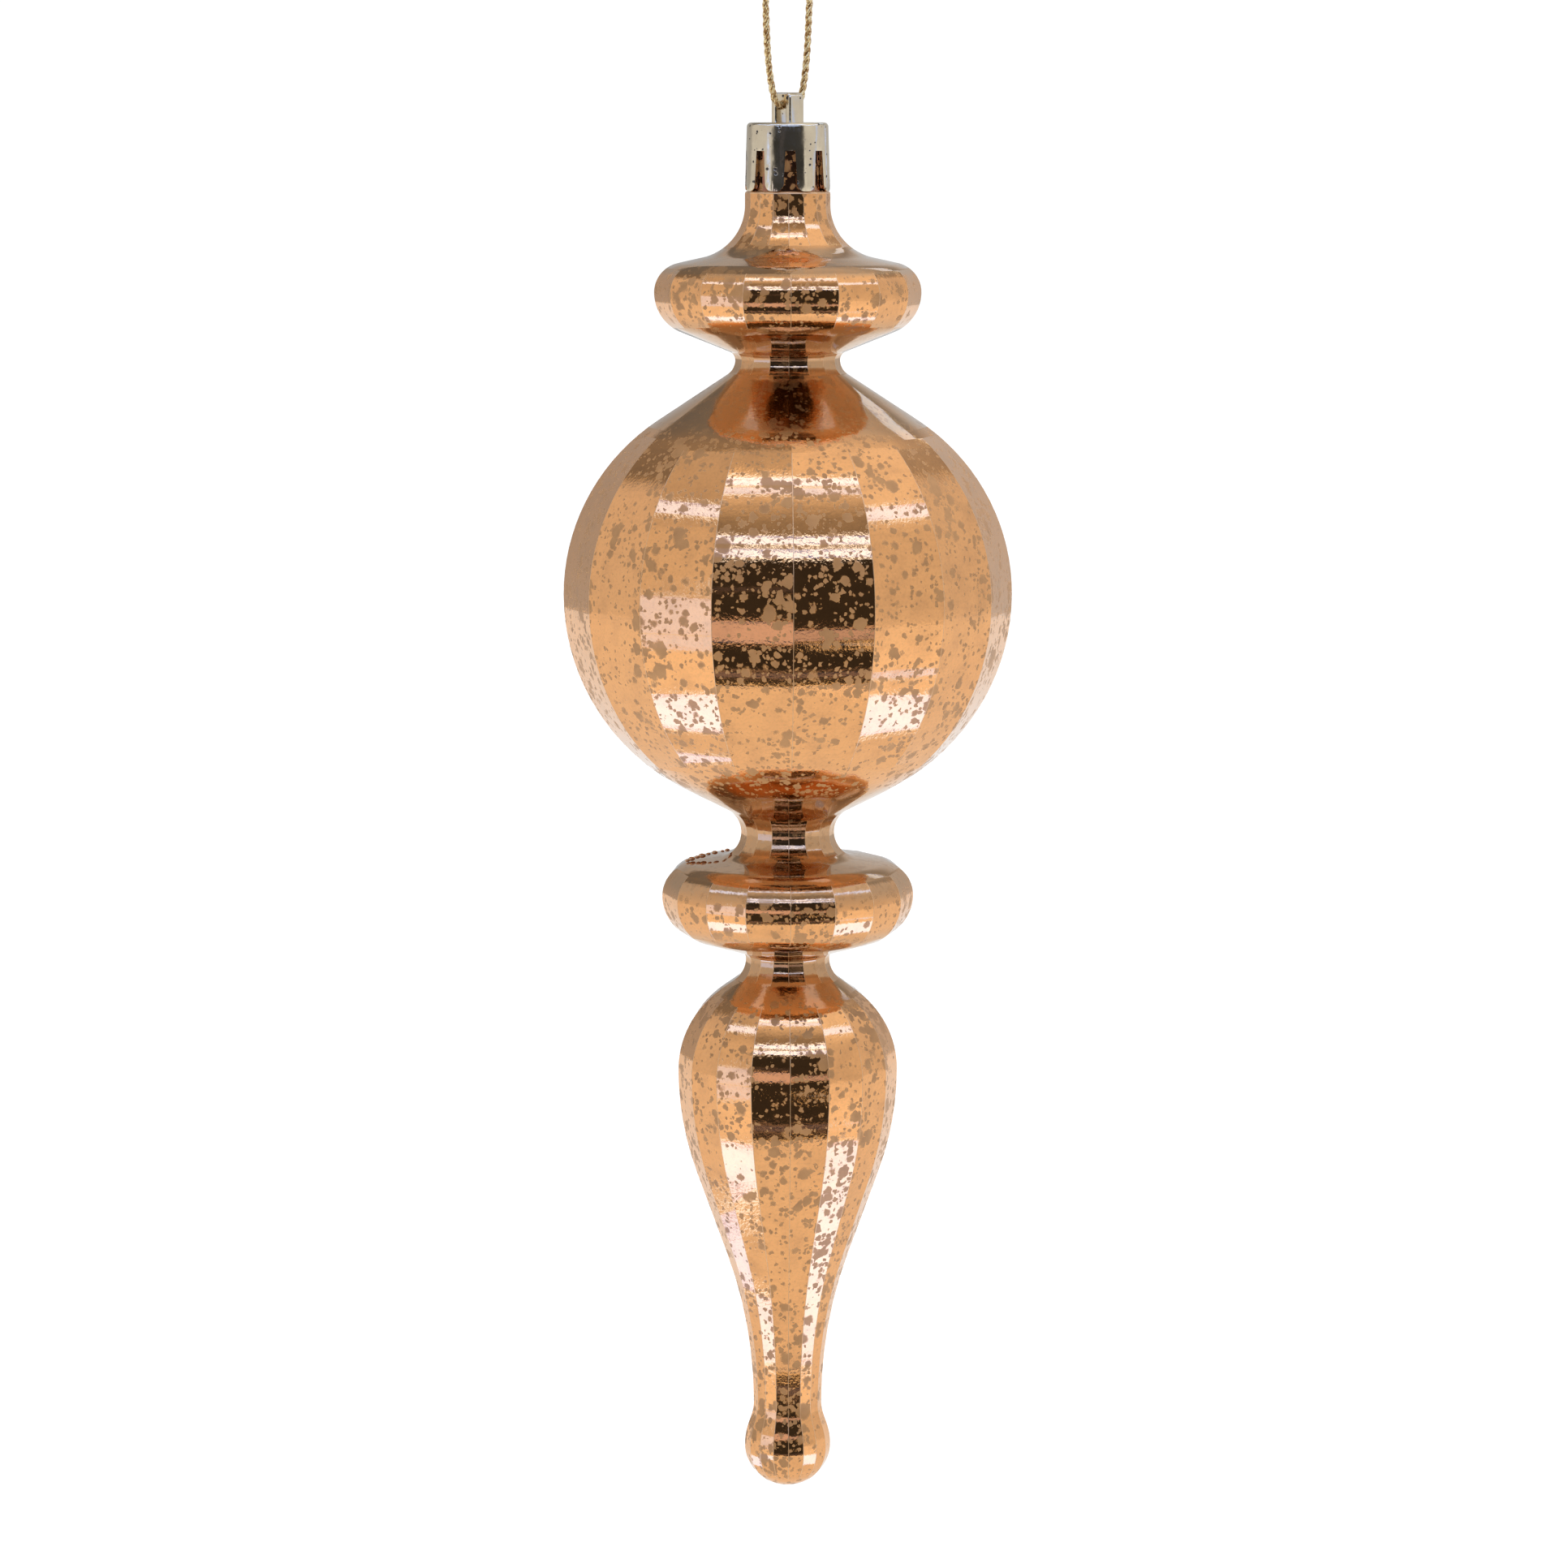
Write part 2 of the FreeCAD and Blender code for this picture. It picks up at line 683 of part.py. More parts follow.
def make_tail(name, side):
    tail = document.addObject("Part::Cylinder", name)
    tail.setExpression("Radius", "Sizes.thread_diameter / 2")
    tail.setExpression("Height", cell("tail_length"))
    tail.Placement = FreeCAD.Placement(CENTRE, FreeCAD.Vector(1, 0, 0), side * size("tail_lean"))
    tail.setExpression("Placement.Base.y", f"{-side} * Sizes.strand_spread / 4")
    tail.setExpression("Placement.Base.z", "Sizes.knot_height / 2")
    return tail


def make_thread_knot():
    """The knot that closes the loop, with the thread's two cut ends standing out of it."""
    barrel = document.addObject("Part::Cylinder", "knot_barrel")
    barrel.setExpression("Radius", cell("knot_radius"))
    barrel.setExpression("Height", cell("knot_height"))
    document.recompute()
    turns = document.addObject("Part::Fillet", "knot_turns")
    turns.Base = barrel
    numbered = enumerate(barrel.Shape.Edges, start=1)
    rims = [number for number, edge in numbered if edge.BoundBox.ZLength < TOUCH]
    turns.Edges = [(rim, size("knot_round"), size("knot_round")) for rim in rims]
    knot = document.addObject("Part::MultiFuse", "thread_knot")
    knot.Label = "thread_knot"
    knot.Shapes = [turns, make_tail("front_tail", 1), make_tail("back_tail", -1)]
    turn_with_cap(knot)
    knot.setExpression("Placement.Base.z", cell("knot_place"))
    return knot


def write_parts(parts):
    document.recompute()
    for item in document.Objects:
        if "Invalid" in item.State or "Error" in item.State:
            raise RuntimeError(f"{item.Label} failed: {item.State}")
    for part in parts:
        if part.Shape.isNull() or not part.Shape.isValid():
            raise RuntimeError(f"{part.Label} has no valid shape")
        box = part.Shape.BoundBox
        print(
            f"{part.Label}: {len(part.Shape.Solids)} solid, {part.Shape.Volume:.1f} mm3,"
            f" {len(part.Shape.Faces)} faces, z {box.ZMin:.2f} to {box.ZMax:.2f}"
        )
    os.makedirs("parts", exist_ok=True)
    for part in parts:
        part.Shape.exportStep(os.path.join("parts", part.Label + ".step"))


fill_sheet()
write_parts([make_ornament_body(), make_cap(), make_hanging_thread(), make_thread_knot()])
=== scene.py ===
import math
import bmesh
import bpy
from mathutils import Euler, Matrix, Vector


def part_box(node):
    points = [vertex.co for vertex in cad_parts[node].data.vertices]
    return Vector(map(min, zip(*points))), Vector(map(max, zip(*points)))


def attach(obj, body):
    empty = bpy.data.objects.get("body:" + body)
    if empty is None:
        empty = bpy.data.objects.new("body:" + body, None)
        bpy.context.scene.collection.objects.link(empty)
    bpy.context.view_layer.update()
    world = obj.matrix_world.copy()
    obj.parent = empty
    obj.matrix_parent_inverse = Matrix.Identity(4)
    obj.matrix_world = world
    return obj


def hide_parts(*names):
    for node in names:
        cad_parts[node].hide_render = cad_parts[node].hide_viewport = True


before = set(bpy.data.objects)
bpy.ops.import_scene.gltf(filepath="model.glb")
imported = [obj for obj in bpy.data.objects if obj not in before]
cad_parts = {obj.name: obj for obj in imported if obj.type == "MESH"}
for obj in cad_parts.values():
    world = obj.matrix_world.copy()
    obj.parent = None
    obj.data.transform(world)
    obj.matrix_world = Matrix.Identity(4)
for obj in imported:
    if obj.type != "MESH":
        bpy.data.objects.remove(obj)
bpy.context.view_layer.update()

MM = 0.001

# Heights in the frame, in millimetres: the body's shoulder, and the thread's line in the eye.
EYE_ABOVE_SHOULDER = 11.7
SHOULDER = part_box("cap")[0].z / MM
THREAD_LINE = SHOULDER + EYE_ABOVE_SHOULDER

# The six facets in front come out a little narrower than the ten others, in degrees.
FACETS = 16
FRONT_FACETS = 6
FRONT_FACET = 20.5
BACK_FACET = (360 - FRONT_FACETS * FRONT_FACET) / (FACETS - FRONT_FACETS)
TO_CORNER = 1 / math.cos(math.pi / FACETS)

# The body's necks and swells by turns, from the cap down: the radius to the middle of a facet,
# how far it lies below the one above it, and the shares of the flank between them that are the
# swell's bend and the straight.
STATIONS = [
    (5.9, 1.92, None, None),
    (18.48, 12.2, 0.343, 0.04),
    (7.28, 9.5, 0.63, 0.24),
    (31.2, 33.0, 0.85, 0.08),
    (6.53, 34.15, 0.877, 0.022),
    (17.64, 9.05, 0.517, 0.07),
    (5.88, 9.25, 0.696, 0.2),
    (15.45, 16.05, 0.77, 0.02),
    (4.82, 49.2, 0.38, 0.065),
    (6.1, 6.35, 0.57, 0.03),
]
SHOULDER_ROUND = 0.4
SHOULDER_STEP = math.radians(15)
ARC_STEP = math.radians(3.5)
# The strip along the edge between two facets, painted with a highlight and worn in patches, and the
# least turn that counts as such.
CREASE = 0.16
CREASE_TURN = math.radians(14)

MOUTH_RADIUS = 5.15
MOUTH_BORE = 4.15
MOUTH_FOOT = -0.3
MOUTH_HEIGHT = 8.0
MOUTH_ROUND = 0.3
MOUTH_EDGE = 0.1

CAP_EDGE = 0.07
SHARP_TURN = math.radians(35)

# Flash from the mould: a row of lumps on the low disc's left flank and a burr under the ball,
# as (out to the right, height, size), in millimetres.
FLASH = [
    (-8.6, -140.5, 0.28),
    (-9.3, -140.65, 0.22),
    (-10.4, -140.85, 0.34),
    (-11.3, -141.05, 0.26),
    (-12.2, -141.3, 0.42),
    (-12.9, -141.5, 0.3),
    (-13.7, -141.75, 0.38),
    (-14.3, -142.0, 0.26),
    (10.9, -132.9, 0.34),
    (11.4, -132.6, 0.24),
]
FLASH_SHAPE = (1.3, 1.0, 0.8)

# The thread's route: one strand as (out from the loop's middle, up from the eye's hole), from
# the eye to the knot, then the two points that lead into the knot.
THREAD_DIAMETER = 1.0
LOOP_TURN = math.radians(-42.5)
STRAND_SIDE = 0.62
FRONT_STRAND = [
    (2.35, 0.0),
    (3.3, 2.3),
    (4.15, 6.3),
    (4.5, 10.9),
    (4.75, 16.7),
    (4.7, 22.7),
    (4.3, 28.2),
    (3.0, 33.1),
]
BACK_STRAND = [
    (2.35, 0.0),
    (3.3, 2.3),
    (4.1, 6.4),
    (4.45, 11.1),
    (4.8, 16.5),
    (4.95, 22.3),
    (4.4, 28.1),
    (3.1, 32.9),
]
KNOT_LEAD = [(STRAND_SIDE, 37.1), (STRAND_SIDE, 39.7)]

# The plies that the thread is twisted from.
PLIES = 3
PLY_RADIUS = 0.235
PLY_OFFSET = 0.268
PLY_STEP = 0.2
TWIST_LENGTH = 3.9

# The knot that closes the loop, above the picture's edge, and one of its two tails.
KNOT_FOOT = 39.7
KNOT_TOP = 42.3
WRAP_RADIUS = 0.93
WRAP_TURNS = 1.75
WRAP_STEPS = 44
TAIL = [
    (STRAND_SIDE, KNOT_FOOT + 0.1),
    (STRAND_SIDE * 0.7, KNOT_TOP - 0.6),
    (1.05, KNOT_TOP + 1.4),
    (2.1, 46.1),
]

# The camera: near, as high as the cap and a little to the left, so the discs' tops show. The
# picture is PICTURE_SIDE wide at PICTURE_DISTANCE, in metres, the slanted way to its aim.
PICTURE_SIDE = 225.45
PICTURE_DISTANCE = 0.692
AXIS_OFFSET = 0.5
CAMERA_TURN = math.radians(1.46)
CAMERA_DISTANCE = 0.68
CAMERA_HEIGHT = -36.0
AIM_HEIGHT = -131.0
SENSOR = 36.0

FLOOR_HEIGHT = -335.0
ROOM = 6


# shader nodes

def add(tree, kind, inputs=None, **settings):
    """A new node with its settings and inputs, where an input is a value or another's output."""
    made = tree.nodes.new(kind)
    for name, value in settings.items():
        setattr(made, name, value)
    for socket, value in (inputs or {}).items():
        if isinstance(value, bpy.types.NodeSocket):
            tree.links.new(value, made.inputs[socket])
        else:
            made.inputs[socket].default_value = value
    return made


def calc(tree, operation, first, second=0.0, clamp=False):
    made = add(tree, "ShaderNodeMath", {0: first, 1: second}, operation=operation, use_clamp=clamp)
    return made.outputs[0]


def blend(tree, share, first, second):
    """Goes from the first colour to the second by share."""
    made = add(tree, "ShaderNodeMix", {0: share}, data_type="RGBA")
    for socket, value in zip((6, 7), (first, second)):
        if isinstance(value, bpy.types.NodeSocket):
            tree.links.new(value, made.inputs[socket])
        else:
            made.inputs[socket].default_value = value
    return made.outputs[2]


def scaled(tree, value, most, least=0.0):
    """Goes from least to least + most as the value goes from 0 to 1."""
    return calc(tree, "ADD", calc(tree, "MULTIPLY", value, most), least)


def above(tree, value, floor, strength):
    """How far the value is above the floor, times the strength, from 0 to 1."""
    return calc(tree, "MULTIPLY", calc(tree, "SUBTRACT", value, floor), strength, clamp=True)


def rise(tree, value, low, high):
    """Goes smoothly from 0 to 1 as the value goes from low to high."""
    inputs = {"Value": value, "From Min": low, "From Max": high}
    return add(tree, "ShaderNodeMapRange", inputs, interpolation_type="SMOOTHSTEP").outputs[0]


def noise(tree, coords, scale, detail=2.0):
    inputs = {"Vector": coords, "Scale": scale, "Detail": detail}
    return add(tree, "ShaderNodeTexNoise", inputs).outputs["Fac"]


def pulled_out(tree, coords, low, high):
    """Coordinates for a pattern of level streaks: low goes round the body, high goes up it."""
    made = add(tree, "ShaderNodeMapping", {"Vector": coords})
    made.inputs["Scale"].default_value = (low, low, high)
    return made.outputs[0]


def new_material(name):
    material = bpy.data.materials.new(name)
    material.use_nodes = True
    tree = material.node_tree
    shader = tree.nodes["Principled BSDF"]
    coords = add(tree, "ShaderNodeTexCoord").outputs["Object"]
    return material, tree, shader, coords


def feed(tree, shader, inputs):
    """Sets the shader's inputs, where an input is a plain value or a node's output."""
    for socket, value in inputs.items():
        if isinstance(value, bpy.types.NodeSocket):
            tree.links.new(value, shader.inputs[socket])
        else:
            shader.inputs[socket].default_value = value


def bumps(tree, height):
    """A normal for a height in millimetres."""
    bump = add(tree, "ShaderNodeBump", {"Height": height, "Strength": 1.0, "Distance": MM})
    return bump.outputs[0]


# the copper finish: a mirror coat seen through the clear wall, eaten through in spots

COPPER = (0.93, 0.455, 0.16, 1)
COPPER_DEEP = (0.89, 0.40, 0.125, 1)
# The neck's copper, darkened as painted shade for the cap's shadow over it.
NECK_COPPER_PAINTED_SHADE = (0.34, 0.115, 0.06, 1)
NECK_COPPER_PAINTED_SHADE_DEEP = (0.22, 0.07, 0.04, 1)
TARNISH = (0.68, 0.32, 0.11, 1)
# A brown painted as shade and dark reflection in the grooves and on the disc tops.
GROOVE_PAINTED_SHADE = (0.54, 0.30, 0.135, 1)
SPOT_LIGHT = (0.60, 0.32, 0.135, 1)
SPOT_DARK = (0.36, 0.185, 0.08, 1)
# A painted highlight for the facet edges, worn to the darker colour below it in patches.
CREASE_PAINTED_HIGHLIGHT = (1.0, 0.62, 0.32, 1)
CREASE_WORN = (0.50, 0.25, 0.10, 1)
# What the coat's colour goes to where it is seen at a slant.
SLANT_COPPER = (0.97, 0.78, 0.54, 1)

# The top disc's ledge, the grooves and the low disc's top, painted a darker brown as shade and
# dark reflection, with fewer spots: their two heights and how far the change reaches.
PAINTED_SHADE_BANDS = [(-58.0, -55.2, 0.8), (-79.0, -66.5, 2.5), (-144.5, -131.5, 2.5), (-160.0, -153.0, 3.0)]
SPOTS_KEPT_OUT = 0.75

# Spots in three sizes: the cells that they are scattered over, in metres, the share of the cells
# that stays bare, and how far the largest reaches in its cell.
SPOT_SIZES = [(0.0029, 0.50, 0.85), (0.0016, 0.36, 0.95), (0.0007, 0.34, 1.0)]
SPOT_EDGE = 9.0
RAGGED_EDGE = 0.0008
CROWDING = 1.3

# Unevenness of the wall and wear of the coat, as noise with its scale and detail: first with a
# height in millimetres, then with the floor that it has to pass and its strength.
WALL_WAVES = [(2600.0, 3.0, 0.014), (480.0, 2.0, 0.022), (85.0, 1.0, 0.11)]
WALL_STREAKS = 0.010
WEAR = [(2300.0, 3.0, 0.46, 1.4), (260.0, 4.0, 0.46, 2.2)]


def spots(tree, coords, cell, bare_share, largest, crowding):
    """Round spots of random size in cells of that many metres, 1 inside and 0 outside."""
    cells = add(tree, "ShaderNodeTexVoronoi", {"Vector": coords, "Scale": 1 / cell})
    chance = add(tree, "ShaderNodeSeparateColor", {0: cells.outputs["Color"]}).outputs[0]
    over = calc(tree, "ADD", calc(tree, "SUBTRACT", chance, bare_share), crowding)
    reach = calc(tree, "MULTIPLY", over, largest)
    return above(tree, reach, cells.outputs["Distance"], SPOT_EDGE)


def all_spots(tree, coords):
    wander = add(tree, "ShaderNodeTexNoise", {"Vector": coords, "Scale": 1500.0, "Detail": 3.0})
    shift = add(tree, "ShaderNodeVectorMath", {0: wander.outputs["Color"]}, operation="SCALE")
    shift.inputs["Scale"].default_value = RAGGED_EDGE
    ragged = add(tree, "ShaderNodeVectorMath", {0: coords, 1: shift.outputs[0]}, operation="ADD")
    crowds = calc(tree, "SUBTRACT", noise(tree, coords, 140.0, 3.0), 0.5)
    crowding = calc(tree, "MULTIPLY", crowds, CROWDING)
    share = 0.0
    for cell, bare_share, largest in SPOT_SIZES:
        of_size = spots(tree, ragged.outputs[0], cell, bare_share, largest, crowding)
        share = calc(tree, "MAXIMUM", share, of_size)
    return share


def uneven(tree, coords):
    """The wall's grain, ripple, waves and streaks as a normal."""
    streaks = noise(tree, pulled_out(tree, coords, 60.0, 900.0), 1.0)
    height = scaled(tree, streaks, WALL_STREAKS)
    for scale, detail, high in WALL_WAVES:
        height = calc(tree, "ADD", height, scaled(tree, noise(tree, coords, scale, detail), high))
    return bumps(tree, height)


def in_painted_shade(tree, coords):
    """1 in the bands of painted shade and 0 outside them."""
    up = add(tree, "ShaderNodeSeparateXYZ", {0: coords}).outputs["Z"]
    share = 0.0
    for low, high, reach in PAINTED_SHADE_BANDS:
        over = rise(tree, up, (low - reach) * MM, low * MM)
        under = rise(tree, up, high * MM, (high + reach) * MM)
        share = calc(tree, "ADD", share, calc(tree, "SUBTRACT", over, under))
    return share


def tarnish(tree, coords):
    """How dull the mirror is: fine grain, soft patches and level streaks."""
    streaks = noise(tree, pulled_out(tree, coords, 90.0, 1300.0), 1.0, 3.0)
    dull = above(tree, streaks, 0.5, 0.8)
    for scale, detail, floor, strength in WEAR:
        worn = above(tree, noise(tree, coords, scale, detail), floor, strength)
        dull = calc(tree, "ADD", dull, worn, clamp=True)
    return dull


def make_copper(name, light, deep):
    material, tree, shader, coords = new_material(name)
    painted_shade = in_painted_shade(tree, coords)
    kept = scaled(tree, painted_shade, -SPOTS_KEPT_OUT, 1.0)
    eaten = calc(tree, "MULTIPLY", all_spots(tree, coords), kept)
    spot_colour = blend(tree, noise(tree, coords, 420.0), SPOT_LIGHT, SPOT_DARK)
    mirror_colour = blend(tree, noise(tree, coords, 60.0), light, deep)
    # Painted shade: the mirror colour goes to a darker brown in the bands.
    mirror_colour = blend(tree, painted_shade, mirror_colour, GROOVE_PAINTED_SHADE)
    mirror_colour = blend(tree, tarnish(tree, coords), mirror_colour, TARNISH)
    rough = calc(tree, "MULTIPLY", noise(tree, coords, 500.0), 0.08)
    feed(tree, shader, {
        "Base Color": blend(tree, eaten, mirror_colour, spot_colour),
        "Metallic": scaled(tree, eaten, -0.85, 1.0),
        "Roughness": calc(tree, "ADD", rough, scaled(tree, eaten, 0.4)),
        "Normal": uneven(tree, coords),
        "Specular Tint": SLANT_COPPER,
        "Specular IOR Level": 0.15,
        "Coat Weight": scaled(tree, eaten, -0.75, 1.0),
        "Coat Roughness": 0.02,
        "Coat IOR": 1.55,
    })
    return material


def make_crease_highlight():
    """The coat along the edge between two facets: rougher, so it scatters, with a painted highlight
    colour worn darker in patches.
    """
    material, tree, shader, coords = new_material("copper_crease_painted_highlight")
    wear = noise(tree, coords, 700.0, 3.0)
    feed(tree, shader, {
        "Base Color": blend(tree, wear, CREASE_PAINTED_HIGHLIGHT, CREASE_WORN),
        "Metallic": 0.8,
        "Roughness": scaled(tree, wear, 0.3, 0.25),
        "Coat Weight": 0.4,
    })
    return material


# the cap's champagne chrome and the gold thread

CHROME = (0.86, 0.75, 0.565, 1)
CHROME_DEEP = (0.58, 0.48, 0.34, 1)
PIT = (0.10, 0.085, 0.07, 1)
PIT_CELL = 0.0006
PIT_DEPTH = 0.03
GOLD_DARK = (0.42, 0.21, 0.06, 1)
# A painted glint, where the thread's colour goes bright in spots.
GOLD_PAINTED_GLINT = (1.0, 0.80, 0.42, 1)


def make_silver():
    """Champagne chrome on the moulded cap, clouded, with small dark pits."""
    material, tree, shader, coords = new_material("silver_cap")
    cloud = noise(tree, coords, 380.0, 4.0)
    pits = spots(tree, coords, PIT_CELL, 0.74, 1.3, calc(tree, "SUBTRACT", cloud, 0.45))
    rough = calc(tree, "ADD", scaled(tree, cloud, 0.30, 0.02), scaled(tree, pits, 0.3))
    fine = scaled(tree, noise(tree, coords, 1300.0, 3.0), 0.014)
    bow = scaled(tree, noise(tree, coords, 300.0, 2.0), 0.10)
    height = calc(tree, "SUBTRACT", calc(tree, "ADD", fine, bow), scaled(tree, pits, PIT_DEPTH))
    feed(tree, shader, {
        "Base Color": blend(tree, pits, blend(tree, cloud, CHROME, CHROME_DEEP), PIT),
        "Metallic": 1.0,
        "Roughness": rough,
        "Normal": bumps(tree, height),
    })
    return material


def make_gold():
    """Gold foil thread with glints painted into its colour in spots."""
    material, tree, shader, coords = new_material("gold_thread")
    glint_and_grain = noise(tree, coords, 2600.0, 2.0)
    feed(tree, shader, {
        # Painted glints where the noise is high; the same noise gives the foil's grain bump.
        "Base Color": blend(tree, above(tree, glint_and_grain, 0.4, 5.0), GOLD_DARK, GOLD_PAINTED_GLINT),
        "Metallic": 0.6,
        "Roughness": 0.3,
        "Normal": bumps(tree, scaled(tree, glint_and_grain, 0.06)),
    })
    return material


# mesh helpers

def to_object(name, bm, material):
    mesh = bpy.data.meshes.new(name)
    for face in bm.faces:
        face.smooth = True
    bm.to_mesh(mesh)
    bm.free()
    mesh.materials.append(material)
    made = bpy.data.objects.new(name, mesh)
    bpy.context.scene.collection.objects.link(made)
    return made


def draw_outline(bm, outline):
    """A string of edges through (radius, height) points, in millimetres, in front of the axis."""
    verts = [bm.verts.new((0, -radius * MM, height * MM)) for radius, height in outline]
    return verts + [bm.edges.new(pair) for pair in zip(verts, verts[1:])]


def spin_outline(bm, outline, steps):
    """Turns an outline all the way round the upright axis."""
    bmesh.ops.spin(
        bm,
        geom=draw_outline(bm, outline),
        cent=(0, 0, 0),
        axis=(0, 0, 1),
        dvec=(0, 0, 0),
        angle=2 * math.pi,
        steps=steps,
        use_merge=True,
    )


def spin_facets(bm, outline, widths):
    """Turns an outline round the upright axis by one flat facet after another."""
    last = draw_outline(bm, outline)
    for width in widths:
        made = bmesh.ops.spin(
            bm,
            geom=last,
            cent=(0, 0, 0),
            axis=(0, 0, 1),
            dvec=(0, 0, 0),
            angle=math.radians(width),
            steps=1,
            use_merge=False,
        )
        last = made["geom_last"]


def close_up(bm):
    bmesh.ops.remove_doubles(bm, verts=bm.verts, dist=0.002 * MM)
    bmesh.ops.recalc_face_normals(bm, faces=bm.faces)


def soften_edges(piece, width, least_turn):
    bevel = piece.modifiers.new("soft_edges", "BEVEL")
    bevel.width = width * MM
    bevel.segments = 2
    bevel.limit_method = "ANGLE"
    bevel.angle_limit = least_turn
    bevel.harden_normals = True
    return bevel


# the blown body

def arc_points(centre, radius, start, end, step=ARC_STEP, with_first=False):
    """Points at even steps along an arc, in most cases without its first one."""
    count = max(2, math.ceil(abs(end - start) / step))
    numbers = range(0 if with_first else 1, count + 1)
    angles = [start + (end - start) * number / count for number in numbers]
    return [(centre[0] + radius * math.cos(a), centre[1] + radius * math.sin(a)) for a in angles]


def flank_points(above_radius, below_radius, height, span, fullness, straight):
    """A flank from one station to the next: a bend, a straight and a bend the other way."""
    neck, swell = sorted((above_radius, below_radius))
    gap = swell - neck
    full_bends = (gap**2 + span**2) / (2 * gap)
    bends = (1 - straight) * full_bends
    turn = math.asin(bends / math.hypot(gap - bends, span)) + math.atan2(gap - bends, span)
    swell_bend = fullness * full_bends
    neck_bend = bends - swell_bend
    if above_radius < below_radius:
        hollow = ((neck + neck_bend, height), neck_bend, math.pi, math.pi + turn)
        bulge = ((swell - swell_bend, height - span), swell_bend, turn, 0)
        return arc_points(*hollow) + arc_points(*bulge, with_first=True)
    bulge = ((swell - swell_bend, height), swell_bend, 0, -turn)
    hollow = ((neck + neck_bend, height - span), neck_bend, math.pi - turn, math.pi)
    return arc_points(*bulge) + arc_points(*hollow, with_first=True)


def body_outline():
    """The facet's middle line, from the shoulder's centre down to the tip."""
    top_radius, drop = STATIONS[0][:2]
    bend_centre = (top_radius - SHOULDER_ROUND, -SHOULDER_ROUND)
    outline = [(0, 0), (bend_centre[0], 0)]
    outline += arc_points(bend_centre, SHOULDER_ROUND, math.pi / 2, 0, SHOULDER_STEP)
    outline.append((top_radius, -drop))
    height = -drop
    for (above_radius, *_), (below_radius, span, *shares) in zip(STATIONS, STATIONS[1:]):
        outline += flank_points(above_radius, below_radius, height, span, *shares)
        height -= span
    tip_radius = STATIONS[-1][0]
    outline += arc_points((0, height), tip_radius, 0, -math.pi / 2)
    outline[-1] = (0, height - tip_radius)
    return outline


def make_ornament(copper, crease):
    bm = bmesh.new()
    outline = [(out * TO_CORNER, SHOULDER + up) for out, up in body_outline()]
    half_front = [FRONT_FACET] * (FRONT_FACETS // 2)
    spin_facets(bm, outline, half_front + [BACK_FACET] * (FACETS - FRONT_FACETS) + half_front)
    close_up(bm)
    body = to_object("faceted_body", bm, copper)
    body.data.materials.append(crease)
    # The bevel's faces take the crease material, which carries a painted highlight.
    soften_edges(body, CREASE, CREASE_TURN).material = 1
    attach(body, "root")
    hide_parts("ornament_body")


def make_flash(copper):
    bm = bmesh.new()
    for out, height, size in FLASH:
        made = bmesh.ops.create_icosphere(bm, subdivisions=2, radius=size * MM)
        bmesh.ops.scale(bm, vec=FLASH_SHAPE, verts=made["verts"])
        bmesh.ops.translate(bm, vec=Vector((out, 0, height)) * MM, verts=made["verts"])
    flash = to_object("mould_flash", bm, copper)
    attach(flash, "root")
    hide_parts("ornament_body")


def make_mouth(copper):
    """The body's round neck, which shows through the cap's slots."""
    foot, top = SHOULDER + MOUTH_FOOT, SHOULDER + MOUTH_HEIGHT
    outline = [
        (MOUTH_RADIUS, foot),
        (MOUTH_RADIUS, top - MOUTH_ROUND),
        (MOUTH_RADIUS - MOUTH_ROUND, top),
        (MOUTH_BORE, top),
        (MOUTH_BORE, foot),
        (MOUTH_RADIUS, foot),
    ]
    bm = bmesh.new()
    spin_outline(bm, outline, 64)
    close_up(bm)
    mouth = to_object("body_mouth", bm, copper)
    soften_edges(mouth, MOUTH_EDGE, math.radians(30))
    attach(mouth, "root")
    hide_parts("ornament_body")


# the cap

def make_cap(silver):
    bm = bmesh.new()
    bm.from_mesh(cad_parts["cap"].data)
    bmesh.ops.remove_doubles(bm, verts=bm.verts, dist=0.0005 * MM)
    bmesh.ops.dissolve_limit(bm, angle_limit=math.radians(1), verts=bm.verts, edges=bm.edges)
    cap = to_object("slotted_cap", bm, silver)
    soften_edges(cap, CAP_EDGE, SHARP_TURN)
    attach(cap, "root")
    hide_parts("cap")


# the thread

def in_loop(out, up):
    """A point of the loop's plane, in the frame, in metres."""
    turned = Matrix.Rotation(LOOP_TURN, 3, "Z") @ Vector((0, -out, 0))
    return Vector((turned.x, turned.y, THREAD_LINE + up)) * MM


def line_curve(name, points):
    """A curve object along the points with no thickness."""
    curve = bpy.data.curves.new(name, "CURVE")
    curve.dimensions = "3D"
    curve.resolution_u = 12
    spline = curve.splines.new("NURBS")
    spline.points.add(len(points) - 1)
    for point, place in zip(spline.points, points):
        point.co = (*place, 1)
    spline.order_u = 3
    spline.use_endpoint_u = True
    made = bpy.data.objects.new(name, curve)
    bpy.context.scene.collection.objects.link(made)
    return made


def take_mesh(curve_object):
    """The mesh that a curve object makes, which is removed with its curve."""
    bpy.context.view_layer.update()
    graph = bpy.context.evaluated_depsgraph_get()
    mesh = bpy.data.meshes.new_from_object(curve_object.evaluated_get(graph))
    curve = curve_object.data
    bpy.data.objects.remove(curve_object)
    bpy.data.curves.remove(curve)
    return mesh


def line_points(name, route):
    """The points that a smooth line along the route passes through."""
    mesh = take_mesh(line_curve(name, route))
    points = [vertex.co.copy() for vertex in mesh.vertices]
    bpy.data.meshes.remove(mesh)
    return points


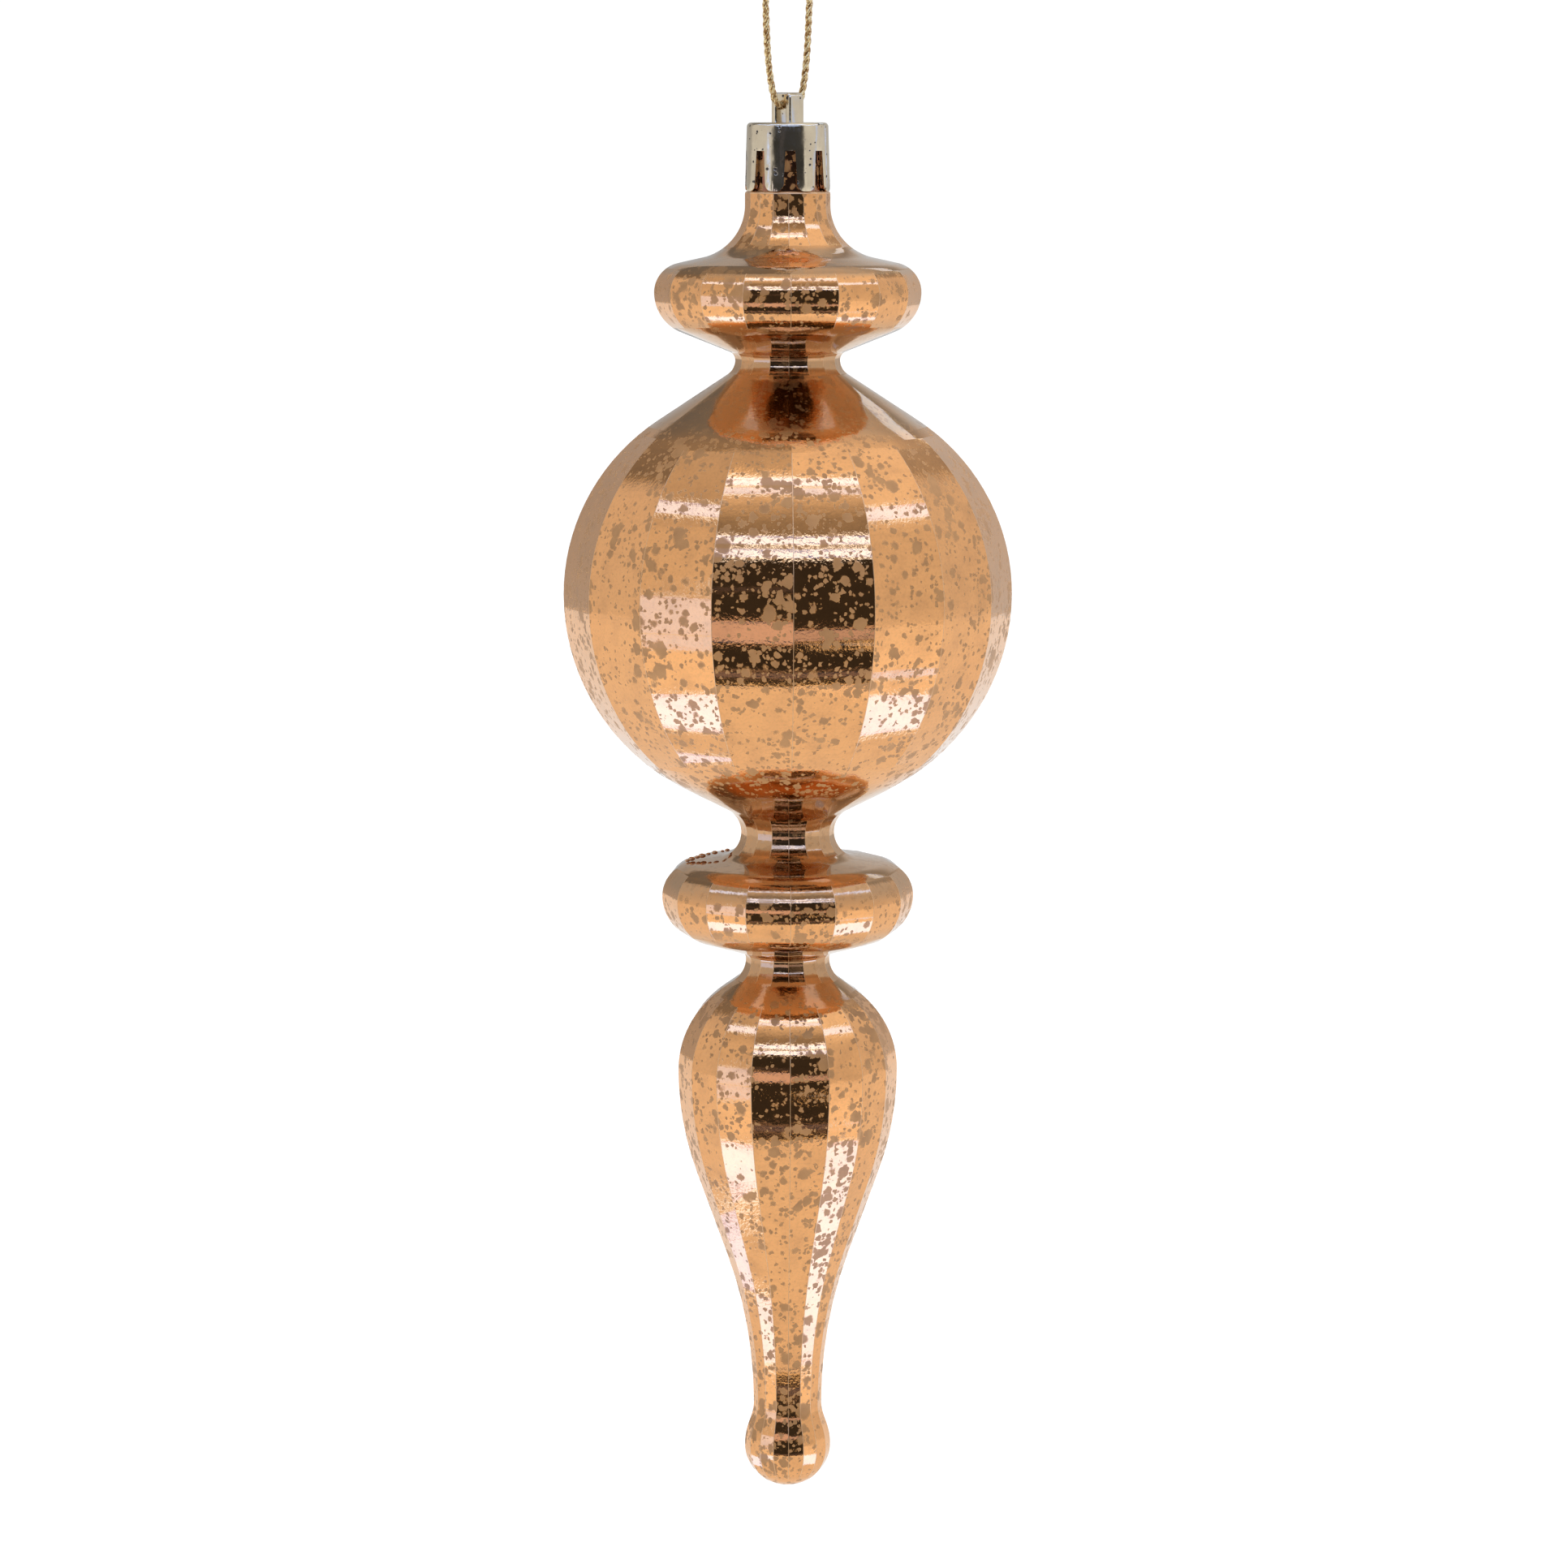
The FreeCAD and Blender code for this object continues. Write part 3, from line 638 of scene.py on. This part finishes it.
def even_points(points, step):
    """Points at an even step along a line of points."""
    lengths = [0.0]
    for first, second in zip(points, points[1:]):
        lengths.append(lengths[-1] + (second - first).length)
    count = round(lengths[-1] / step)
    made, index = [], 0
    for number in range(count + 1):
        along = lengths[-1] * number / count
        while index < len(lengths) - 2 and lengths[index + 1] < along:
            index += 1
        share = (along - lengths[index]) / (lengths[index + 1] - lengths[index])
        made.append(points[index].lerp(points[index + 1], share))
    return made


def cross_frames(line):
    """Each point of a line with two directions across it that turn as little as they can."""
    side = (line[1] - line[0]).orthogonal().normalized()
    frames = []
    for index, place in enumerate(line):
        ahead = line[min(index + 1, len(line) - 1)] - line[max(index - 1, 0)]
        ahead.normalize()
        side = (side - ahead * side.dot(ahead)).normalized()
        frames.append((place, side, ahead.cross(side)))
    return frames


def twist_plies(bm, points):
    """Adds the plies of a twisted cord along the line of points to the bmesh."""
    frames = cross_frames(even_points(points, PLY_STEP * MM))
    for ply in range(PLIES):
        path = []
        for index, (place, across, over) in enumerate(frames):
            angle = 2 * math.pi * (index * PLY_STEP / TWIST_LENGTH + ply / PLIES)
            path.append(place + (across * math.cos(angle) + over * math.sin(angle)) * PLY_OFFSET * MM)
        guide = line_curve("ply", path)
        guide.data.resolution_u = 1
        guide.data.bevel_depth = PLY_RADIUS * MM
        guide.data.bevel_resolution = 1
        guide.data.use_fill_caps = True
        mesh = take_mesh(guide)
        bm.from_mesh(mesh)
        bpy.data.meshes.remove(mesh)


def make_thread(gold, knot):
    front = FRONT_STRAND + KNOT_LEAD
    back = [(-out, up) for out, up in BACK_STRAND + KNOT_LEAD]
    route = [in_loop(out, up) for out, up in front[::-1] + back]
    points = line_points("thread_route", route)
    bm = bmesh.new()
    twist_plies(bm, points)
    thread = to_object("twisted_thread", bm, gold)
    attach(thread, "root")
    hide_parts("hanging_thread")


def make_knot(gold):
    bm = bmesh.new()
    foot, climb = KNOT_FOOT + THREAD_DIAMETER / 2, KNOT_TOP - KNOT_FOOT - THREAD_DIAMETER
    wrap = []
    for number in range(WRAP_STEPS + 1):
        angle = 2 * math.pi * WRAP_TURNS * number / WRAP_STEPS
        up = THREAD_LINE + foot + climb * number / WRAP_STEPS
        wrap.append(Vector((WRAP_RADIUS * math.cos(angle), WRAP_RADIUS * math.sin(angle), up)) * MM)
    twist_plies(bm, wrap)
    for side in (1, -1):
        twist_plies(bm, line_points("tail", [in_loop(side * out, up) for out, up in TAIL]))
    knot = to_object("loop_knot", bm, gold)
    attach(knot, "root")
    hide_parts("thread_knot")
    return knot


# the studio: a pale floor and backdrop for the camera, and cards that only the finish reflects

def glow(name, colour, strength):
    material = bpy.data.materials.new(name)
    material.use_nodes = True
    tree = material.node_tree
    tree.nodes.clear()
    light = add(tree, "ShaderNodeEmission", {"Color": (*colour, 1), "Strength": strength})
    add(tree, "ShaderNodeOutputMaterial", {"Surface": light.outputs[0]})
    return material


def only_seen_by(piece, camera=False, glossy=False):
    piece.visible_camera = camera
    piece.visible_diffuse = False
    piece.visible_glossy = glossy
    piece.visible_transmission = glossy
    piece.visible_shadow = False


def card(name, low, high, strength, colour=(1, 1, 1)):
    """A flat card between two corners, in millimetres, that only the finish reflects.
    It is level, or upright where the corners share their y or x."""
    bm = bmesh.new()
    bmesh.ops.create_grid(bm, x_segments=1, y_segments=1, size=0.5)
    low, high = Vector(low) * MM, Vector(high) * MM
    size = high - low
    if size.y == 0:
        bmesh.ops.rotate(bm, verts=bm.verts, matrix=Matrix.Rotation(math.pi / 2, 3, "X"))
    if size.x == 0:
        bmesh.ops.rotate(bm, verts=bm.verts, matrix=Matrix.Rotation(math.pi / 2, 3, "Y"))
    bmesh.ops.scale(bm, vec=[side or 1 for side in size], verts=bm.verts)
    bmesh.ops.translate(bm, vec=(low + high) / 2, verts=bm.verts)
    made = to_object(name, bm, glow(name, colour, strength))
    only_seen_by(made, glossy=True)


# Lamp light a little cooler than white, so that a copper highlight comes out cream.
COOL = (0.62, 0.9, 1.75)
PEACH = (1.0, 0.92, 1.12)
PALE = (0.95, 1.2, 2.05)
REAR_COOL = (0.8, 1.0, 1.35)


def make_cards():
    """A table edge in front, pools of light on the table, lamps overhead and at the sides."""
    table = FLOOR_HEIGHT + 0.5
    laid = table + 0.3
    lit = laid + 0.3
    card("table", (-1500, -252, table), (1500, 1500, table), 0.9)
    card("table_fold", (-400, -322, table), (400, -293, table), 0.3, PEACH)
    card("table_left", (-1000, -252, laid), (-150, -20, laid), 1.05)
    card("table_left_front", (-1000, -600, laid), (-240, -252, laid), 1.0)
    card("table_right", (107, -252, laid), (1000, -20, laid), 1.08)
    card("table_right_front", (240, -600, laid), (1000, -252, laid), 1.0)
    card("left_glare", (-720, -430, lit), (-504, -266, lit), 1.05, PALE)
    card("left_pool", (-250, -124, lit), (-152, -12, lit), 2.3, COOL)
    card("left_pool_side", (-200, 40, lit), (-105, 110, lit), 2.0, COOL)
    card("right_pool", (107, -115, lit), (262, 0, lit), 2.3, COOL)
    card("right_pool_front", (330, -155, lit), (375, -125, lit), 1.7, COOL)
    card("left_ledge", (-170, -243, -190), (-18, -243, -140), 0.72, PEACH)
    card("right_ledge", (14, -243, -184), (150, -243, -159), 0.6, PEACH)
    card("left_rail", (-600, -1200, 51), (-150, -1200, 90), 0.12, PEACH)
    card("left_window", (-640, -430, -300), (-640, -310, -84), 1.05, PALE)
    card("left_lamp", (-545, -411, -60), (-545, -347, 20), 1.5, COOL)
    card("far_side_lamp", (600, -25, -260), (600, 25, 160), 0.95, COOL)
    card("right_lamp", (430, 395, -110), (470, 395, 120), 1.4, COOL)
    card("right_rear_lamp", (317, 900, 497), (760, 900, 773), 1.3, REAR_COOL)
    card("top_lamp", (-800, -352, 760), (800, -272, 760), 2.6, COOL)
    card("top_lamp_rear", (-800, -452, 760), (800, -378, 760), 1.9, COOL)
    card("high_bar", (-800, -1200, 690), (800, -1200, 850), 2.6, COOL)
    card("low_bar", (-800, -1200, 483), (800, -1200, 618), 2.6, COOL)
    card("left_side_bar", (-732, -400, 530), (-619, 300, 530), 2.0, COOL)
    card("right_side_bar", (700, -400, 530), (836, 300, 530), 2.0, COOL)


# Greys of the surroundings as (sine of the elevation, grey), by where they lie.
FRONT_GREYS = [(-1, 0.04), (0.4, 0.04), (0.5, 0.22), (0.72, 0.36), (0.86, 0.82), (0.95, 1.0)]
LEFT_GREYS = [(-1, 0.9), (-0.3, 0.85), (-0.1, 0.75), (0.5, 0.74), (0.68, 0.55), (0.9, 0.62)]
RIGHT_GREYS = [(-1, 0.92), (-0.3, 0.9), (-0.05, 0.74), (0.5, 0.74), (0.62, 0.98), (0.9, 0.95)]
BACK_LEFT_GREYS = [(-1, 0.6), (-0.2, 0.47), (0.3, 0.42), (0.42, 0.5), (0.46, 0.2), (0.8, 0.3)]
BACK_RIGHT_GREYS = [(-1, 0.7), (-0.2, 0.58), (0.3, 0.56), (0.48, 0.34), (0.56, 0.42), (0.8, 0.75)]

# The bearings between which one goes over into the next, in degrees from the front to the right.
BACK_TO_LEFT = (-124, -119)
LEFT_TO_FRONT = (-46, -40)
LEFT_TO_RIGHT = (-1, 1)
FRONT_TO_RIGHT = (42, 48)
RIGHT_TO_BACK = (121, 128)


def ramp(tree, share, stops):
    """Greys by height, where a stop is (sine of the elevation, grey)."""
    made = add(tree, "ShaderNodeValToRGB", {0: share})
    while len(made.color_ramp.elements) < len(stops):
        made.color_ramp.elements.new(1.0)
    for element, (sine, grey) in zip(made.color_ramp.elements, stops):
        element.position = 0.5 + sine / 2
        element.color = (grey, grey, grey, 1)
    return made.outputs[0]


def step_up(tree, bearing, between):
    """Goes from 0 to 1 between two bearings, in degrees."""
    low, high = between
    return rise(tree, bearing, math.radians(low), math.radians(high))


def make_world():
    """Dim in front, where the camera stands, lighter at the sides and a mid grey behind."""
    world = bpy.data.worlds.new("studio")
    bpy.context.scene.world = world
    world.use_nodes = True
    tree = world.node_tree
    tree.nodes.clear()
    heading = add(tree, "ShaderNodeTexCoord").outputs["Generated"]
    east, north, up = add(tree, "ShaderNodeSeparateXYZ", {0: heading}).outputs
    bearing = calc(tree, "ARCTAN2", east, calc(tree, "MULTIPLY", north, -1.0))
    share_up = scaled(tree, up, 0.5, 0.5)
    front, left, right, back_left, back_right = (
        ramp(tree, share_up, greys)
        for greys in (FRONT_GREYS, LEFT_GREYS, RIGHT_GREYS, BACK_LEFT_GREYS, BACK_RIGHT_GREYS)
    )
    right_side = blend(tree, step_up(tree, bearing, RIGHT_TO_BACK), right, back_right)
    left_side = blend(tree, step_up(tree, bearing, BACK_TO_LEFT), back_left, left)
    side = blend(tree, step_up(tree, bearing, LEFT_TO_RIGHT), left_side, right_side)
    past_left = step_up(tree, bearing, LEFT_TO_FRONT)
    past_right = step_up(tree, bearing, FRONT_TO_RIGHT)
    in_front = calc(tree, "SUBTRACT", past_left, past_right)
    colour = blend(tree, in_front, side, front)
    light = add(tree, "ShaderNodeBackground", {"Color": colour, "Strength": 1.0})
    add(tree, "ShaderNodeOutputWorld", {"Surface": light.outputs[0]})


def make_floor():
    material, tree, shader, coords = new_material("pale_floor")
    tone = noise(tree, coords, 3.0)
    colour = blend(tree, tone, (0.93, 0.93, 0.93, 1), (0.91, 0.91, 0.91, 1))
    feed(tree, shader, {"Base Color": colour, "Roughness": 0.9})
    bm = bmesh.new()
    bmesh.ops.create_grid(bm, x_segments=1, y_segments=1, size=ROOM)
    bmesh.ops.translate(bm, vec=(0, 0, FLOOR_HEIGHT * MM), verts=bm.verts)
    floor = to_object("floor", bm, material)
    floor.visible_glossy = False
    dome = bmesh.new()
    bmesh.ops.create_uvsphere(dome, u_segments=48, v_segments=24, radius=ROOM)
    backdrop = to_object("backdrop", dome, glow("backdrop", (1, 1, 1), 1.05))
    only_seen_by(backdrop, camera=True)


def make_lights():
    sun = bpy.data.lights.new("soft_overhead", "SUN")
    sun.energy = 2.2
    sun.angle = math.radians(40)
    lamp = bpy.data.objects.new("soft_overhead", sun)
    lamp.rotation_euler = Euler((math.radians(-12), math.radians(8), 0))
    lamp.visible_glossy = False
    bpy.context.scene.collection.objects.link(lamp)


def make_camera():
    data = bpy.data.cameras.new("camera")
    data.sensor_width = SENSOR
    data.lens = SENSOR * PICTURE_DISTANCE / (PICTURE_SIDE * MM)
    data.clip_start, data.clip_end = 0.05, 30
    camera = bpy.data.objects.new("camera", data)
    right = Vector((math.cos(CAMERA_TURN), -math.sin(CAMERA_TURN), 0))
    back = Vector((-math.sin(CAMERA_TURN), -math.cos(CAMERA_TURN), 0))
    middle = Vector((0, 0, CAMERA_HEIGHT * MM)) - right * AXIS_OFFSET * MM
    camera.location = middle + back * CAMERA_DISTANCE
    ahead = -back * CAMERA_DISTANCE + Vector((0, 0, (AIM_HEIGHT - CAMERA_HEIGHT) * MM))
    camera.rotation_euler = ahead.to_track_quat("-Z", "Y").to_euler()
    bpy.context.scene.collection.objects.link(camera)
    bpy.context.scene.camera = camera


make_camera()
gold = make_gold()
make_thread(gold, make_knot(gold))
make_ornament(make_copper("copper_finish", COPPER, COPPER_DEEP), make_crease_highlight())
# The neck and the mould flash both take this copper, darkened as painted shade.
shaded_neck_copper = make_copper("neck_finish_painted_shade", NECK_COPPER_PAINTED_SHADE, NECK_COPPER_PAINTED_SHADE_DEEP)
make_mouth(shaded_neck_copper)
make_flash(shaded_neck_copper)
make_cap(make_silver())
make_world()
make_cards()
make_floor()
make_lights()
bpy.context.scene.view_settings.view_transform = "Standard"
